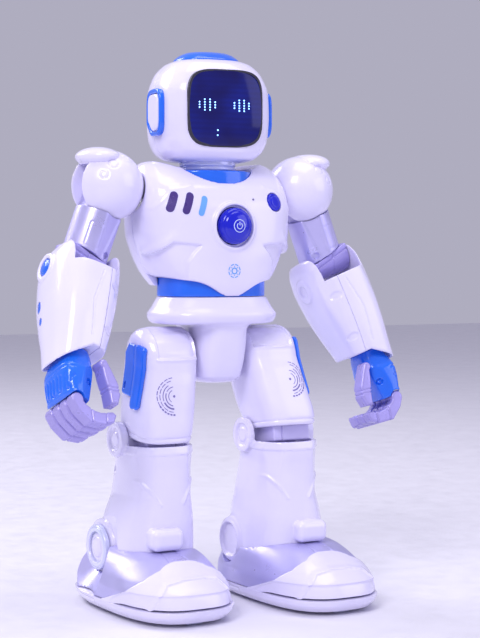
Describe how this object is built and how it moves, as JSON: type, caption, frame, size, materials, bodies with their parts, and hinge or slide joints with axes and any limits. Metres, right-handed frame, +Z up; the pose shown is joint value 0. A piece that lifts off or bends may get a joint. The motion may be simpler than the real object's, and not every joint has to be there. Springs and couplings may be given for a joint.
{
  "type": "walking humanoid toy robot",
  "caption": "Walking humanoid toy robot in glossy white and blue plastic, with a lit face visor, jointed arms with curled hands, and large rounded feet on small wheels.",
  "frame": {"origin": "on the floor, under the centre of the robot's bounding box", "axes": "+Z up, the robot faces -Y, and its own left side is +X"},
  "size_m": [0.293, 0.1682, 0.398],
  "materials": {
    "white_gloss": "glossy white moulded ABS with a cool lavender cast",
    "blue_gloss": "glossy royal blue moulded ABS",
    "silver_satin": "satin silver-lavender painted plastic",
    "lilac_satin": "satin lilac-grey plastic",
    "pearl_trim": "pearly pale plastic",
    "visor_smoked": "polished smoked navy acrylic",
    "led_light": "dot-matrix display board with blue lights",
    "circuit_board": "green circuit board",
    "dark_plastic": "black moulded plastic",
    "wheel_rubber": "black rubber tread"
  },
  "bodies": {
    "torso": {"chest_shell": "white_gloss", "back_shell": "white_gloss", "battery_door": "white_gloss", "collar_plate": "blue_gloss", "chest_lens": "blue_gloss", "waist_band": "blue_gloss", "pelvis_shell": "white_gloss", "battery_pack": "dark_plastic", "main_board": "circuit_board", "speaker": "dark_plastic", "neck_servo": "dark_plastic"},
    "button": {"power_button": "blue_gloss"},
    "head": {"head_front_shell": "white_gloss", "head_rear_shell": "white_gloss", "head_cap": "blue_gloss", "face_visor": "visor_smoked", "led_board": "led_light", "ear_ring_left": "blue_gloss", "ear_pad_left": "white_gloss", "ear_ring_right": "blue_gloss", "ear_pad_right": "white_gloss", "neck_post": "pearl_trim"},
    "shoulder_left": {"shoulder_front_shell_left": "white_gloss", "shoulder_rear_shell_left": "white_gloss"},
    "upper_arm_left": {"upper_arm_sleeve_left": "silver_satin", "elbow_block_left": "lilac_satin"},
    "forearm_left": {"forearm_outer_shell_left": "white_gloss", "forearm_inner_shell_left": "white_gloss"},
    "hand_left": {"hand_cover_left": "blue_gloss"},
    "fingers_left": {"fingers_left": "lilac_satin"},
    "thumb_left": {"thumb_left": "lilac_satin"},
    "thigh_left": {"thigh_shell_left": "white_gloss", "thigh_guard_left": "blue_gloss", "knee_link_left": "lilac_satin"},
    "shin_left": {"shin_shell_left": "white_gloss", "ankle_disc_left": "pearl_trim", "foot_shell_left": "silver_satin", "toe_cap_left": "white_gloss", "sole_plate_left": "white_gloss"},
    "drive_wheels_left": {"drive_wheels_left": "wheel_rubber"},
    "front_roller_left": {"front_roller_left": "pearl_trim"},
    "shoulder_right": {"shoulder_front_shell_right": "white_gloss", "shoulder_rear_shell_right": "white_gloss"},
    "upper_arm_right": {"upper_arm_sleeve_right": "silver_satin", "elbow_block_right": "lilac_satin"},
    "forearm_right": {"forearm_outer_shell_right": "white_gloss", "forearm_inner_shell_right": "white_gloss"},
    "hand_right": {"hand_cover_right": "blue_gloss"},
    "fingers_right": {"fingers_right": "lilac_satin"},
    "thumb_right": {"thumb_right": "lilac_satin"},
    "thigh_right": {"thigh_shell_right": "white_gloss", "thigh_guard_right": "blue_gloss", "knee_link_right": "lilac_satin"},
    "shin_right": {"shin_shell_right": "white_gloss", "ankle_disc_right": "pearl_trim", "foot_shell_right": "silver_satin", "toe_cap_right": "white_gloss", "sole_plate_right": "white_gloss"},
    "drive_wheels_right": {"drive_wheels_right": "wheel_rubber"},
    "front_roller_right": {"front_roller_right": "pearl_trim"}
  },
  "joints": [
    {"name": "neck_yaw", "type": "hinge", "parent": "torso", "child": "head", "pos_m": [-0.00095, 0.0245, 0.312], "axis": [0, 0, 1], "range_deg": [-53, 67]},
    {"name": "power_button_press", "type": "slide", "parent": "torso", "child": "button", "axis": [0, 1, 0], "range_m": [0, 0.0015], "stiffness_N_per_m": 400},
    {"name": "shoulder_pitch_left", "type": "hinge", "parent": "torso", "child": "shoulder_left", "pos_m": [0.07905, 0.026, 0.2995], "axis": [-1, 0, 0], "range_deg": [-40, 150]},
    {"name": "shoulder_spread_left", "type": "hinge", "parent": "shoulder_left", "child": "upper_arm_left", "pos_m": [0.07905, 0.026, 0.2995], "axis": [0, -1, 0], "range_deg": [-4, 60]},
    {"name": "elbow_left", "type": "hinge", "parent": "upper_arm_left", "child": "forearm_left", "pos_m": [0.09866, 0.026, 0.24705], "axis": [-0.9367, 0, -0.3502], "range_deg": [-14, 54]},
    {"name": "wrist_left", "type": "hinge", "parent": "forearm_left", "child": "hand_left", "pos_m": [0.12449, 0.00761, 0.17797], "axis": [0.3398, -0.2419, -0.9088], "range_deg": [-14, 14]},
    {"name": "fingers_left", "type": "hinge", "parent": "hand_left", "child": "fingers_left", "pos_m": [0.13995, -0.00085, 0.1409], "axis": [-0.0847, -0.9703, 0.2266], "range_deg": [-2, 38]},
    {"name": "thumb_left", "type": "hinge", "parent": "hand_left", "child": "thumb_left", "pos_m": [0.11409, -0.009, 0.16695], "axis": [0.0847, 0.9703, -0.2266], "range_deg": [-2, 25]},
    {"name": "shoulder_pitch_right", "type": "hinge", "parent": "torso", "child": "shoulder_right", "pos_m": [-0.08095, 0.026, 0.2995], "axis": [-1, 0, 0], "range_deg": [-40, 150]},
    {"name": "shoulder_spread_right", "type": "hinge", "parent": "shoulder_right", "child": "upper_arm_right", "pos_m": [-0.08095, 0.026, 0.2995], "axis": [0, 1, 0], "range_deg": [-4, 60]},
    {"name": "elbow_right", "type": "hinge", "parent": "upper_arm_right", "child": "forearm_right", "pos_m": [-0.10056, 0.026, 0.24705], "axis": [-0.9367, 0, 0.3502], "range_deg": [-27, 41]},
    {"name": "wrist_right", "type": "hinge", "parent": "forearm_right", "child": "hand_right", "pos_m": [-0.12428, -0.0085, 0.18362], "axis": [0.312, 0.454, 0.8346], "range_deg": [-14, 14]},
    {"name": "fingers_right", "type": "hinge", "parent": "hand_right", "child": "fingers_right", "pos_m": [-0.13871, -0.02578, 0.14929], "axis": [-0.159, 0.891, -0.4252], "range_deg": [-2, 38]},
    {"name": "thumb_right", "type": "hinge", "parent": "hand_right", "child": "thumb_right", "pos_m": [-0.11251, -0.02619, 0.17626], "axis": [0.159, -0.891, 0.4252], "range_deg": [-2, 25]},
    {"name": "hip_right", "type": "hinge", "parent": "torso", "child": "thigh_right", "pos_m": [-0.04295, 0.0185, 0.17531], "axis": [-1, 0, 0], "range_deg": [-1, 19]},
    {"name": "hip_left", "type": "hinge", "parent": "torso", "child": "thigh_left", "pos_m": [0.04105, 0.0185, 0.17531], "axis": [-1, 0, 0], "range_deg": [-19, 1]},
    {"name": "knee_right", "type": "hinge", "parent": "thigh_right", "child": "shin_right", "pos_m": [-0.04295, 0.02726, 0.12], "axis": [-1, 0, 0], "range_deg": [-19, 1]},
    {"name": "knee_left", "type": "hinge", "parent": "thigh_left", "child": "shin_left", "pos_m": [0.04105, 0.00974, 0.12], "axis": [-1, 0, 0], "range_deg": [-1, 19]},
    {"name": "drive_wheels_left_roll", "type": "hinge", "parent": "shin_left", "child": "drive_wheels_left", "pos_m": [0.05305, 0.03774, 0.0065], "axis": [-1, 0, 0], "continuous": true},
    {"name": "front_roller_left_roll", "type": "hinge", "parent": "shin_left", "child": "front_roller_left", "pos_m": [0.05305, -0.06926, 0.005], "axis": [-1, 0, 0], "continuous": true},
    {"name": "drive_wheels_right_roll", "type": "hinge", "parent": "shin_right", "child": "drive_wheels_right", "pos_m": [-0.05495, 0.05526, 0.0065], "axis": [-1, 0, 0], "continuous": true},
    {"name": "front_roller_right_roll", "type": "hinge", "parent": "shin_right", "child": "front_roller_right", "pos_m": [-0.05495, -0.05174, 0.005], "axis": [-1, 0, 0], "continuous": true}
  ],
  "couplings": [
    {"joint": "hip_left", "follows": "hip_right", "ratio": -1},
    {"joint": "knee_right", "follows": "hip_right", "ratio": -1},
    {"joint": "knee_left", "follows": "hip_right", "ratio": 1}
  ]
}
